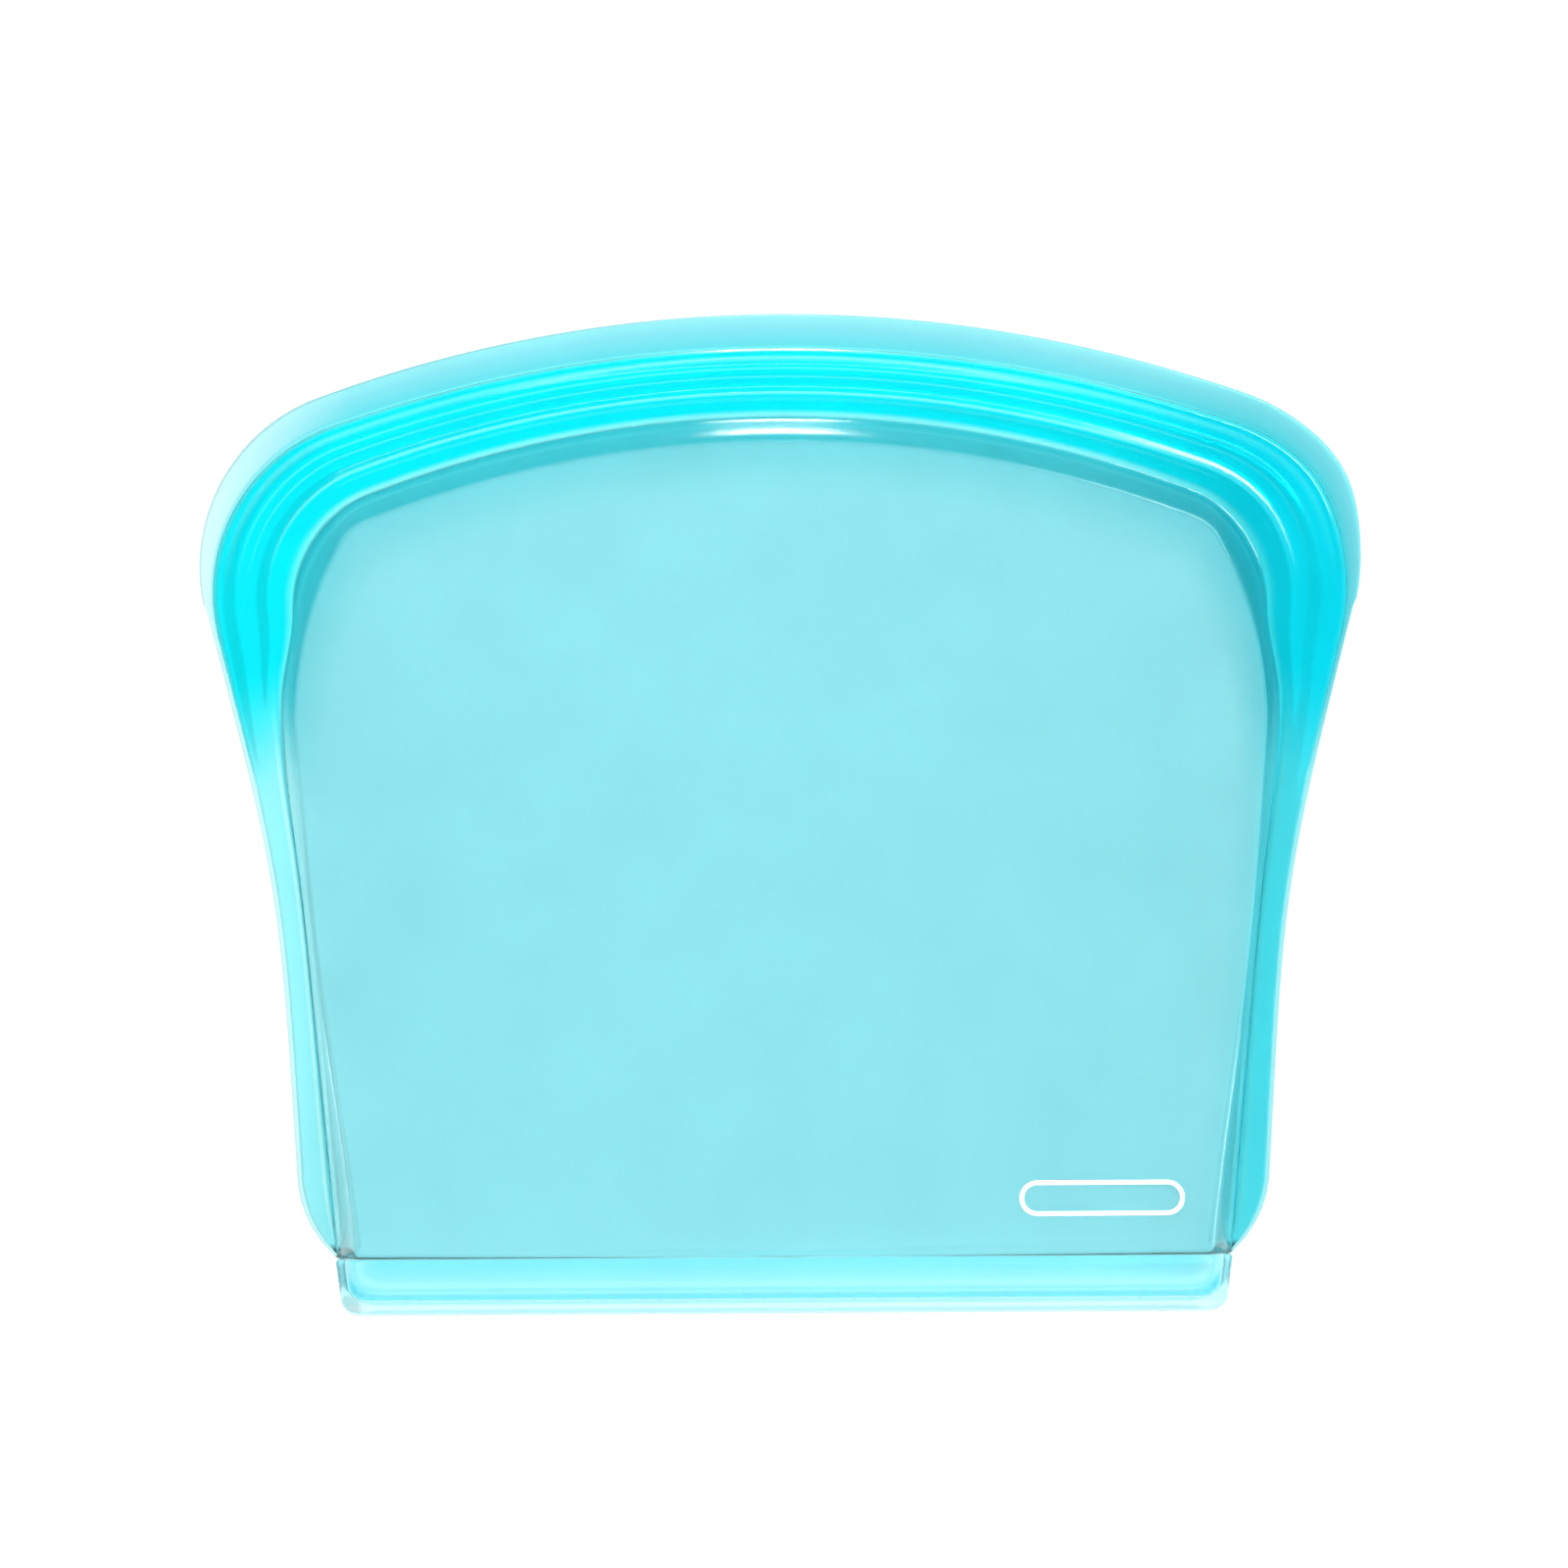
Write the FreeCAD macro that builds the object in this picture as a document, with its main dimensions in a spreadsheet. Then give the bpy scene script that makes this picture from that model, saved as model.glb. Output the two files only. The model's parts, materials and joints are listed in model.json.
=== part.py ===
import FreeCAD, Part

import math
import os

import Sketcher

# Reusable silicone bag, standing upright on its base.  Lengths are in mm.
# +X is to the right across the bag, +Y is from its front to its back and +Z is up.
# The origin is the centre of the underside of the base.
#
# Two thin shells, front and back, meet at the middle plane of the bag (the XZ plane).  Below the hinge
# line they are moulded into one pouch with the base and the side seams.  Above it each shell is a mouth
# half that folds outwards and carries half of the press seal: ribs on the back, grooves on the front.

FRONT = 1
BACK = -1
RIGHT = 1
LEFT = -1

# Two lengths closer than this are the same.
NEAR = 0.01
# A wall that keeps more than this share of its solid form hasn't been hollowed out.
LARGEST_WALL_SHARE = 0.5

DRIVING_SIZES = {
    # the base, a moulded boat that the two walls stand on
    "base_length": 146.8,
    "base_depth": 22.0,
    "base_height": 9.3,
    "base_floor": 1.8,
    "base_corner": 2.0,
    "base_end_wall": 4.4,
    # the two shells
    "half_depth": 8.5,
    "wall": 1.2,
    "rim_depth": 1.2,
    "rim_wall": 1.3,
    "slope_lean": 31.6,
    "sketch_overrun": 8.0,
    # the crease where each shell turns down into the flat edge
    "crease_top": 147.0,
    "crease_arch": 190.0,
    "crease_shoulder": 19.5,
    "crease_lean": 4.6,
    "crease_foot": 73.2,
    # the living hinge of the two mouth halves
    "hinge_height": 102.0,
    "hinge_gap": 0.3,
    # the edges of the two lips, whose feet stand at the hinge line
    "front_lip_top": 158.1,
    "front_lip_arch": 223.0,
    "front_lip_shoulder": 27.0,
    "front_lip_lean": 9.0,
    "front_lip_foot": 90.7,
    "back_lip_top": 163.7,
    "back_lip_arch": 222.0,
    "back_lip_shoulder": 29.5,
    "back_lip_lean": 14.4,
    "back_lip_foot": 90.8,
    "lip_thick": 1.2,
    # the press seal
    "seal_edge": 1.9,
    "seal_thick": 3.2,
    "mouth_gap": 0.3,
    "outer_track": 2.6,
    "inner_track": 5.9,
    "rib_width": 2.0,
    "rib_height": 1.5,
    "rib_lean": 15.0,
    "groove_play": 0.45,
    # the side seams
    "seam_half": 1.2,
    "seam_top": 92.0,
    "seam_flare_height": 86.5,
    "seam_waist_height": 45.0,
    "seam_waist_width": 81.1,
    "seam_waist_radius": 227.0,
    "seam_heel_height": 22.2,
    "seam_heel_width": 79.8,
    "seam_heel_radius": 17.7,
}


class Size:
    """A length or an angle of the sheet: its number, and the expression that binds it."""

    def __init__(self, number, text):
        self.number = number
        self.text = text

    def __add__(self, other):
        return Size(self.number + other.number, f"({self.text} + {other.text})")

    def __sub__(self, other):
        return Size(self.number - other.number, f"({self.text} - {other.text})")

    def __mul__(self, factor):
        return Size(self.number * factor, f"({self.text} * {factor})")

    def along(self, lean):
        """The sideways run of a line that leans by an angle over this height."""
        return Size(self.number * math.tan(math.radians(lean.number)), f"({self.text} * tan({lean.text}))")

    def across(self, lean):
        """The level width of a band of this thickness that leans by an angle."""
        return Size(self.number / math.cos(math.radians(lean.number)), f"({self.text} / cos({lean.text}))")


def make_sheet(doc):
    sheet = doc.addObject("Spreadsheet::Sheet", "Sizes")
    for row, (name, number) in enumerate(DRIVING_SIZES.items(), start=1):
        sheet.set(f"A{row}", name)
        sheet.set(f"B{row}", str(number))
        sheet.setAlias(f"B{row}", name)
    doc.recompute()
    return sheet


def length(name):
    return Size(float(sheet.get(name)), f"Sizes.{name} * 1 mm")


def angle(name):
    return Size(float(sheet.get(name)), f"Sizes.{name} * 1 deg")


class Outline:
    """An arched outline in the XZ plane: a broad arch, two round shoulders and two leaning flanks."""

    def __init__(self, name, foot_height):
        self.top = length(name + "_top")
        self.arch = length(name + "_arch")
        self.shoulder = length(name + "_shoulder")
        self.lean = angle(name + "_lean")
        self.foot = length(name + "_foot")
        self.foot_height = foot_height

    def inset(self, distance):
        """The same outline, moved inwards by a distance."""
        moved = Outline.__new__(Outline)
        moved.top = self.top - distance
        moved.arch = self.arch - distance
        moved.shoulder = self.shoulder - distance
        moved.lean = self.lean
        moved.foot = self.foot - distance.across(self.lean)
        moved.foot_height = self.foot_height
        return moved

    def half_width(self, height):
        """Half the width of the outline at a height on its straight flank."""
        return self.foot + (height - self.foot_height).along(self.lean)


def dimension(sketch, size, *constraint):
    """Add a driving constraint and bind it to the sheet."""
    index = sketch.addConstraint(Sketcher.Constraint(*constraint, size.number))
    sketch.setExpression(f"Constraints[{index}]", size.text)


def lean_dimension(sketch, size, edge):
    """Bind the lean of a rising edge, measured from the upright."""
    index = sketch.addConstraint(Sketcher.Constraint("Angle", edge, math.radians(90 - size.number)))
    sketch.setExpression(f"Constraints[{index}]", f"90 deg - {size.text}")


def new_body(label):
    body = doc.addObject("PartDesign::Body", label)
    body.Label = label
    body.Placement = FreeCAD.Placement()
    bodies[label] = body
    return body


def new_sketch(body, name, role="XZ_Plane", offset=None):
    """A sketch on one of the body's own origin planes, moved along its normal by an offset."""
    sketch = body.newObject("Sketcher::SketchObject", name)
    plane = [feature for feature in body.Origin.OriginFeatures if feature.Role == role][0]
    sketch.AttachmentSupport = [(plane, "")]
    sketch.MapMode = "FlatFace"
    if offset is not None:
        sketch.AttachmentOffset = FreeCAD.Placement(FreeCAD.Vector(0, 0, offset.number), FreeCAD.Rotation())
        sketch.setExpression("AttachmentOffset.Base.z", offset.text)
    return sketch


def extrude(body, kind, sketch, size, reverse, lean=None):
    """A pad or pocket of a stated depth, which may narrow by a lean."""
    feature = body.newObject("PartDesign::" + kind, f"{sketch.Name}_{kind.lower()}")
    feature.Profile = sketch
    feature.Length = size.number
    feature.setExpression("Length", size.text)
    feature.Reversed = reverse
    if lean is not None:
        feature.TaperAngle = -lean.number
        feature.setExpression("TaperAngle", f"-1 * {lean.text}")
    doc.recompute()
    return feature


def add_arched_edges(sketch, outline, low):
    """Draw an arched outline from a low height on the right, over the top and down to the left.

    Returns the first and last edge, whose free ends are the two feet."""
    lean = math.radians(outline.lean.number)
    foot = outline.half_width(low)
    radius = outline.shoulder.number
    arch = outline.arch.number
    arch_centre = outline.top.number - arch
    # The shoulder's centre is one radius inside the flank and touches the arch from within.
    inner_foot = foot.number - radius / math.cos(lean)
    slope = math.tan(lean)
    reach = arch - radius
    drop = low.number - arch_centre
    square = 1 + slope ** 2
    linear = inner_foot * slope + drop
    constant = inner_foot ** 2 + drop ** 2 - reach ** 2
    rise = (-linear + math.sqrt(linear ** 2 - square * constant)) / square
    centre_x = inner_foot + rise * slope
    centre_z = low.number + rise
    touch = math.atan2(centre_z - arch_centre, centre_x)
    joint_x = centre_x + radius * math.cos(lean)
    joint_z = centre_z - radius * math.sin(lean)

    def point(x, z):
        return FreeCAD.Vector(x, z, 0)

    def arc(x, z, size, start, end):
        circle = Part.Circle(point(x, z), FreeCAD.Vector(0, 0, 1), size)
        return Part.ArcOfCircle(circle, start, end)

    def draw(edge):
        return sketch.addGeometry(edge, False)

    right = draw(Part.LineSegment(point(foot.number, low.number), point(joint_x, joint_z)))
    right_round = draw(arc(centre_x, centre_z, radius, -lean, touch))
    top = draw(arc(0, arch_centre, arch, touch, math.pi - touch))
    left_round = draw(arc(-centre_x, centre_z, radius, math.pi - touch, math.pi + lean))
    left = draw(Part.LineSegment(point(-joint_x, joint_z), point(-foot.number, low.number)))

    start, end, centre = 1, 2, 3
    for one, other in ((right, right_round), (right_round, top), (top, left_round), (left_round, left)):
        sketch.addConstraint(Sketcher.Constraint("Tangent", one, end, other, start))
    sketch.addConstraint(Sketcher.Constraint("PointOnObject", top, centre, -2))
    sketch.addConstraint(Sketcher.Constraint("Symmetric", right, start, left, end, -2))
    sketch.addConstraint(Sketcher.Constraint("Equal", right_round, left_round))
    sketch.addConstraint(Sketcher.Constraint("Horizontal", right, end, left, start))
    dimension(sketch, outline.arch, "Radius", top)
    dimension(sketch, outline.shoulder, "Radius", right_round)
    dimension(sketch, outline.arch - outline.top, "DistanceY", top, centre, -1, 1)
    dimension(sketch, foot, "DistanceX", -1, 1, right, start)
    dimension(sketch, low, "DistanceY", -1, 1, right, start)
    lean_dimension(sketch, outline.lean, right)
    return right, left


def add_link(sketch, first, first_end, second, second_end):
    """Draw a straight edge that joins the ends of two edges already drawn."""
    line = Part.LineSegment(sketch.getPoint(first, first_end), sketch.getPoint(second, second_end))
    link = sketch.addGeometry(line, False)
    sketch.addConstraint(Sketcher.Constraint("Coincident", link, 1, first, first_end))
    sketch.addConstraint(Sketcher.Constraint("Coincident", link, 2, second, second_end))


def arched_sketch(body, name, outline, low, offset=None):
    """The whole area inside an arched outline, above a low height."""
    sketch = new_sketch(body, name, offset=offset)
    right, left = add_arched_edges(sketch, outline, low)
    add_link(sketch, left, 2, right, 1)
    doc.recompute()
    return sketch


def horseshoe_sketch(body, name, outer, inner, low, offset=None):
    """The band between two arched outlines, above a low height."""
    sketch = new_sketch(body, name, offset=offset)
    outer_right, outer_left = add_arched_edges(sketch, outer, low)
    inner_right, inner_left = add_arched_edges(sketch, inner, low)
    add_link(sketch, outer_left, 2, inner_left, 2)
    add_link(sketch, inner_right, 1, outer_right, 1)
    doc.recompute()
    return sketch


def rectangle_sketch(body, name, half_x, low_y, high_y, role, offset=None):
    """A rectangle centred across the vertical axis of a plane, between two distances up it."""
    sketch = new_sketch(body, name, role, offset)
    corners = (
        FreeCAD.Vector(half_x.number, low_y.number, 0),
        FreeCAD.Vector(half_x.number, high_y.number, 0),
        FreeCAD.Vector(-half_x.number, high_y.number, 0),
        FreeCAD.Vector(-half_x.number, low_y.number, 0),
    )
    for index in range(4):
        sketch.addGeometry(Part.LineSegment(corners[index], corners[(index + 1) % 4]), False)
    for index in range(4):
        sketch.addConstraint(Sketcher.Constraint("Coincident", index, 2, (index + 1) % 4, 1))
    sketch.addConstraint(Sketcher.Constraint("Vertical", 0))
    sketch.addConstraint(Sketcher.Constraint("Horizontal", 1))
    sketch.addConstraint(Sketcher.Constraint("Vertical", 2))
    sketch.addConstraint(Sketcher.Constraint("Symmetric", 0, 1, 2, 2, -2))
    dimension(sketch, half_x, "DistanceX", -1, 1, 0, 1)
    dimension(sketch, low_y, "DistanceY", -1, 1, 0, 1)
    dimension(sketch, high_y, "DistanceY", -1, 1, 0, 2)
    doc.recompute()
    return sketch


def trim_level(body, name, low, high):
    """Cut away whatever of the body lies between two heights."""
    sketch = rectangle_sketch(body, name, length("base_length"), low, high, "XZ_Plane")
    feature = body.newObject("PartDesign::Pocket", name + "_cut")
    feature.Profile = sketch
    feature.Type = "ThroughAll"
    feature.SideType = "Symmetric"
    doc.recompute()


def make_base():
    """The boat: a floor and four thick sides, open at the top into the pouch."""
    body = new_body("base_boat")
    half_length = length("base_length") * 0.5
    half_depth = length("base_depth") * 0.5
    outside = rectangle_sketch(body, "base_outside", half_length, half_depth * -1, half_depth, "XY_Plane")
    extrude(body, "Pad", outside, length("base_height"), False)
    hollow_half = half_length - length("base_end_wall")
    hollow_depth = length("half_depth") - length("wall")
    inside = rectangle_sketch(body, "base_inside", hollow_half, hollow_depth * -1, hollow_depth,
                              "XY_Plane", length("base_height"))
    boat = extrude(body, "Pocket", inside, length("base_height") - length("base_floor"), False)
    rounded = []
    for index, edge in enumerate(boat.Shape.Edges, start=1):
        upright_corner = abs(edge.BoundBox.ZLength - length("base_height").number) < NEAR
        bottom_edge = edge.CenterOfMass.z < NEAR
        if upright_corner or bottom_edge:
            rounded.append(f"Edge{index}")
    fillet = body.newObject("PartDesign::Fillet", "base_rounding")
    fillet.Base = (boat, rounded)
    fillet.Radius = length("base_corner").number
    fillet.setExpression("Radius", length("base_corner").text)
    doc.recompute()


def make_wall(label, side, rim_start, low, cut_above=None):
    """One shell above a low height: a flat panel, a steep slope all round it and a narrow upright rim."""
    body = new_body(label)
    reverse = side == BACK
    rim_end = length("rim_depth")
    slope = length("half_depth") - rim_end
    sketch_low = low - length("sketch_overrun")

    rim = arched_sketch(body, label + "_rim", crease, sketch_low, rim_start * side)
    extrude(body, "Pad", rim, rim_end - rim_start, reverse)
    crown = arched_sketch(body, label + "_crown", crease, sketch_low, rim_end * side)
    extrude(body, "Pad", crown, slope, reverse, angle("slope_lean"))
    solid_volume = body.Shape.Volume

    inner_low = sketch_low - length("sketch_overrun")
    inside = crease.inset(length("rim_wall"))
    hollow = arched_sketch(body, label + "_hollow", inside, inner_low, rim_start * side)
    depth = length("half_depth") - length("wall") - rim_start
    extrude(body, "Pocket", hollow, depth, not reverse, angle("slope_lean"))
    assert body.Shape.Volume < solid_volume * LARGEST_WALL_SHARE, label + " isn't hollow"

    trim_level(body, label + "_below", low - length("crease_top"), low)
    if cut_above is not None:
        trim_level(body, label + "_above", cut_above, length("back_lip_top") + length("sketch_overrun"))


def arc_between(first, second, radius, turn):
    """The short arc between two points, bending to the left of its path for turn 1 and right for -1."""
    chord = second - first
    half = chord.Length / 2
    sag = radius - math.sqrt(radius ** 2 - half ** 2)
    outward = FreeCAD.Vector(chord.y, -chord.x, 0) * (turn / chord.Length)
    return Part.Arc(first, (first + second) * 0.5 + outward * sag, second)


def side_sketch(body, name, hand, corners, offset, rounds=None):
    """A closed outline on one side of the bag, whose corners are (across, up) pairs of sizes.

    rounds gives the edges that are arcs, as {edge: (radius, turn)}."""
    rounds = rounds or {}
    sketch = new_sketch(body, name, offset=offset)
    points = [FreeCAD.Vector(hand * across.number, up.number, 0) for across, up in corners]
    count = len(points)
    ends = []
    for index in range(count):
        first = points[index]
        second = points[(index + 1) % count]
        if index in rounds:
            radius, turn = rounds[index]
            edge = sketch.addGeometry(arc_between(first, second, radius.number, turn * hand), False)
            # An arc always runs anticlockwise, so its two ends may be swapped.
            swapped = (sketch.getPoint(edge, 1) - first).Length > NEAR
            ends.append((edge, 2, 1) if swapped else (edge, 1, 2))
        else:
            ends.append((sketch.addGeometry(Part.LineSegment(first, second), False), 1, 2))
    for index in range(count):
        edge, start, end = ends[index]
        following, following_start, _ = ends[(index + 1) % count]
        sketch.addConstraint(Sketcher.Constraint("Coincident", edge, end, following, following_start))
        across, up = corners[index]
        if hand == RIGHT:
            dimension(sketch, across, "DistanceX", -1, 1, edge, start)
        else:
            dimension(sketch, across, "DistanceX", edge, start, -1, 1)
        dimension(sketch, up, "DistanceY", -1, 1, edge, start)
        if index in rounds:
            dimension(sketch, rounds[index][0], "Radius", edge)
    doc.recompute()
    return sketch


def make_side_seam(label, hand):
    """The flat flange beside the pouch, where its front and back are moulded together."""
    body = new_body(label)
    low = length("base_height")
    high = length("seam_top")
    flare = length("seam_flare_height")
    corners = (
        (crease.half_width(low), low),
        (length("seam_heel_width"), length("seam_heel_height")),
        (length("seam_waist_width"), length("seam_waist_height")),
        (back_lip.half_width(flare), flare),
        (back_lip.half_width(high), high),
        (crease.half_width(high), high),
    )
    rounds = {0: (length("seam_heel_radius"), 1), 2: (length("seam_waist_radius"), -1)}
    face = side_sketch(body, label + "_face", hand, corners, length("seam_half") * -1, rounds)
    extrude(body, "Pad", face, length("seam_half") * 2, False)


def make_seal_end(label, hand):
    """The solid web at the foot of the press seal, where its tracks end and the mouth stops opening."""
    body = new_body(label)
    low = length("seam_top")
    high = length("hinge_height") - length("hinge_gap") * 0.5
    for part, outer, half_thick in (("flange", back_lip, length("seam_half")),
                                    ("web", seal_edge, length("seal_thick"))):
        corners = (
            (crease.half_width(low), low),
            (outer.half_width(low), low),
            (outer.half_width(high), high),
            (crease.half_width(high), high),
        )
        face = side_sketch(body, f"{label}_{part}", hand, corners, half_thick * -1)
        extrude(body, "Pad", face, half_thick * 2, False)


def track(inset, width):
    """The outer and inner edge of a band that runs along the seal, a stated distance in from its edge."""
    return seal_edge.inset(length(inset) - width * 0.5), seal_edge.inset(length(inset) + width * 0.5)


def make_seal_half(label, side):
    """The thick band of one half of the seal, as a plain strip ready for its tracks."""
    body = new_body(label)
    band = horseshoe_sketch(body, label + "_band", seal_edge, crease, mouth_foot, mouth_face * side)
    extrude(body, "Pad", band, length("seal_thick") - mouth_face, side == BACK)
    return body


def make_seal_grooves(label):
    """The front half of the seal, with two grooves that open towards the back."""
    body = make_seal_half(label, FRONT)
    play = length("groove_play")
    for inset in ("outer_track", "inner_track"):
        outer, inner = track(inset, length("rib_width") + play * 2)
        before = body.Shape.Volume
        face = horseshoe_sketch(body, f"{label}_{inset}", outer, inner, mouth_foot, mouth_face)
        extrude(body, "Pocket", face, length("rib_height") + play, True)
        assert body.Shape.Volume < before - 1, inset + " groove cuts nothing"


def make_seal_ribs(label):
    """The back half of the seal, with two ribs that press forward into the grooves."""
    body = make_seal_half(label, BACK)
    for inset in ("outer_track", "inner_track"):
        outer, inner = track(inset, length("rib_width"))
        before = body.Shape.Volume
        face = horseshoe_sketch(body, f"{label}_{inset}", outer, inner, mouth_foot, mouth_face * BACK)
        extrude(body, "Pad", face, length("rib_height"), False, angle("rib_lean"))
        assert body.Shape.Volume > before + 1, inset + " rib adds nothing"


def make_lip(label, side, edge):
    """The thin pull lip outside the seal."""
    body = new_body(label)
    face = horseshoe_sketch(body, label + "_face", edge, seal_edge, mouth_foot, mouth_face * side)
    extrude(body, "Pad", face, length("lip_thick"), side == BACK)


def check_document():
    """Stop if anything in the document failed to build."""
    for item in doc.Objects:
        for bad in ("Invalid", "Error"):
            if bad in item.State:
                raise RuntimeError(f"{item.Name} is {bad}")
    for label, body in bodies.items():
        if body.Shape.isNull() or not body.Shape.isValid():
            raise RuntimeError(label + " has no valid shape")
        if len(body.Shape.Solids) != 1:
            raise RuntimeError(f"{label} has {len(body.Shape.Solids)} solids")


def write_parts():
    os.makedirs("parts", exist_ok=True)
    for label, body in bodies.items():
        body.Shape.exportStep(f"parts/{label}.step")
        box = body.Shape.optimalBoundingBox(False)
        print(f"{label:20s} {body.Shape.Volume / 1000:7.2f} cm3  "
              f"x {box.XMin:7.2f} {box.XMax:7.2f}  y {box.YMin:6.2f} {box.YMax:6.2f}  "
              f"z {box.ZMin:7.2f} {box.ZMax:7.2f}")


doc = FreeCAD.newDocument("SiliconeBag")
sheet = make_sheet(doc)
bodies = {}

mouth_foot = length("hinge_height") + length("hinge_gap") * 0.5
pouch_top = length("hinge_height") - length("hinge_gap") * 0.5
middle_plane = Size(0.0, "0 mm")
mouth_face = length("mouth_gap") * 0.5

crease = Outline("crease", length("base_height"))
front_lip = Outline("front_lip", mouth_foot)
back_lip = Outline("back_lip", mouth_foot)
seal_edge = front_lip.inset(length("seal_edge"))

make_base()
make_wall("front_wall_lower", FRONT, middle_plane, length("base_height"), pouch_top)
make_wall("back_wall_lower", BACK, middle_plane, length("base_height"), pouch_top)
make_side_seam("left_side_seam", LEFT)
make_side_seam("right_side_seam", RIGHT)
make_seal_end("left_seal_end", LEFT)
make_seal_end("right_seal_end", RIGHT)
make_wall("front_wall_upper", FRONT, mouth_face, mouth_foot)
make_wall("back_wall_upper", BACK, mouth_face, mouth_foot)
make_seal_grooves("front_seal_grooves")
make_seal_ribs("back_seal_ribs")
make_lip("front_lip", FRONT, front_lip)
make_lip("back_lip", BACK, back_lip)

check_document()
write_parts()
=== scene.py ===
import json
import math

import bmesh
import bpy
import numpy as np
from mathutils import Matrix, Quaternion, Vector


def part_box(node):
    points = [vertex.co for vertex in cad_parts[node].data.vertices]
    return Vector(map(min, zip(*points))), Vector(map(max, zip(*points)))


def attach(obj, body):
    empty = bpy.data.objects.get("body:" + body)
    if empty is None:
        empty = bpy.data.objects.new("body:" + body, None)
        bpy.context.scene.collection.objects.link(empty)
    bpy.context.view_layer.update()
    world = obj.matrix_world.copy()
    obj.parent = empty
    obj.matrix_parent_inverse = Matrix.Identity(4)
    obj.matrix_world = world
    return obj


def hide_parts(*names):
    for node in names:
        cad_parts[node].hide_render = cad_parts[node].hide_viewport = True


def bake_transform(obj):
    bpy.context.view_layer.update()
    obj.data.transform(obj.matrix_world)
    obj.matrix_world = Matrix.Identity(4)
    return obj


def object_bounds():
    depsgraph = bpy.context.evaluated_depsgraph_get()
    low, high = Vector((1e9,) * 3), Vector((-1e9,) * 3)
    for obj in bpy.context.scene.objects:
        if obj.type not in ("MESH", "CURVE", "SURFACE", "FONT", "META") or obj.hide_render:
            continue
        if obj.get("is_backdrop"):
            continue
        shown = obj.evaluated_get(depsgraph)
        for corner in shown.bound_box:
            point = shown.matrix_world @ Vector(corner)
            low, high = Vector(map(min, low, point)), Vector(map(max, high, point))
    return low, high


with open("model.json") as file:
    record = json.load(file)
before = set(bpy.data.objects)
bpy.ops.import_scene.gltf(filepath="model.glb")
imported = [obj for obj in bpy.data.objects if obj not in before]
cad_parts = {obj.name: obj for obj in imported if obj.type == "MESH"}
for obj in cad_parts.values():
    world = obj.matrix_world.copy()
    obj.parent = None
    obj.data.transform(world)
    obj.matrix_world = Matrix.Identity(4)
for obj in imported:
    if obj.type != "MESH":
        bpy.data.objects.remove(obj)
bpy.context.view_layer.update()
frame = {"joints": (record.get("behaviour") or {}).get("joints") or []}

MM = 0.001
FRONT, BACK = -1, 1

# ---------------------------------------------------------------- sizes, in mm, worked out from the frame


def node_box(node):
    """The low and high corner of a CAD node, in mm."""
    low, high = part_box(node)
    return np.array(low) / MM, np.array(high) / MM


base_high = node_box("base_boat")[1]
wall_low, wall_high = node_box("front_wall_upper")
hinge_place = {joint["child"]: joint["pos_m"] for joint in frame["joints"]}

WALL_FOOT = base_high[2]
HALF_DEPTH = -wall_low[1]
HINGE_HEIGHT = hinge_place["front_mouth"][2] / MM
BACK_LIP_TOP = node_box("back_lip")[1][2]
FRONT_LIP_TOP = node_box("front_lip")[1][2]
CREASE_TOP = wall_high[2]
SLOPE_HEIGHT = 4.5
WINDOW_TOP = CREASE_TOP - SLOPE_HEIGHT

WALL = 1.25
HALF_GAP = 0.15
SEAM_GAP = 0.02
LIP_THICK = 1.2


# ---------------------------------------------------------------- outlines in the XZ plane


def smooth(value, low, high):
    """A soft step from 0 at the low value to 1 at the high value."""
    share = np.clip((value - low) / (high - low), 0, 1)
    return share * share * (3 - 2 * share)


def bump(value, middle, half_width):
    """A soft hump of height 1 round the middle value."""
    return np.exp(-((value - middle) / half_width) ** 2)


def seam_edge(height):
    """Half width of the bag's outer edge below the shoulder: a round heel, a slim waist and a flare."""
    heel_top, heel_radius, heel_drop = 22.2, 17.7, 12.9
    waist, lean, spread = 79.8, 0.055, 0.2018
    flare_start, flare_ease = 70.0, 9.0
    rise = height - heel_top
    flare = flare_ease * np.log1p(np.exp((height - flare_start) / flare_ease))
    heel = heel_radius - np.sqrt(heel_radius ** 2 - np.clip(-rise, 0, heel_drop) ** 2)
    return waist + lean * rise + spread * flare - heel


def front_seam_edge(height):
    """The front half's outer edge, a little inside the back half's."""
    return seam_edge(height) - 0.8


def crease_flank(height):
    """Half width of the crease below its shoulder: out below the seal, then in towards the base."""
    foot, lean, upper = 73.3, 0.0885, 79.9
    line = foot + lean * (height - WALL_FOOT) + 0.9 * bump(height, 90.0, 16.0)
    return line + (upper - line) * smooth(height, 99.0, 115.0)


def window_flank(height):
    """Half width of the window below its corner: drawn in towards the seal and towards the base."""
    widest, widest_height, radius, lean, foot_tuck = 79.5, 96.5, 62.0, 0.083, 2.6
    above = np.clip(height - widest_height, 0, None)
    below = np.clip(widest_height - height, 0, None)
    drawn_in = radius - np.sqrt(radius ** 2 - above ** 2)
    return widest - drawn_in - lean * below - foot_tuck * smooth(-height, -70.0, -5.0)


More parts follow.
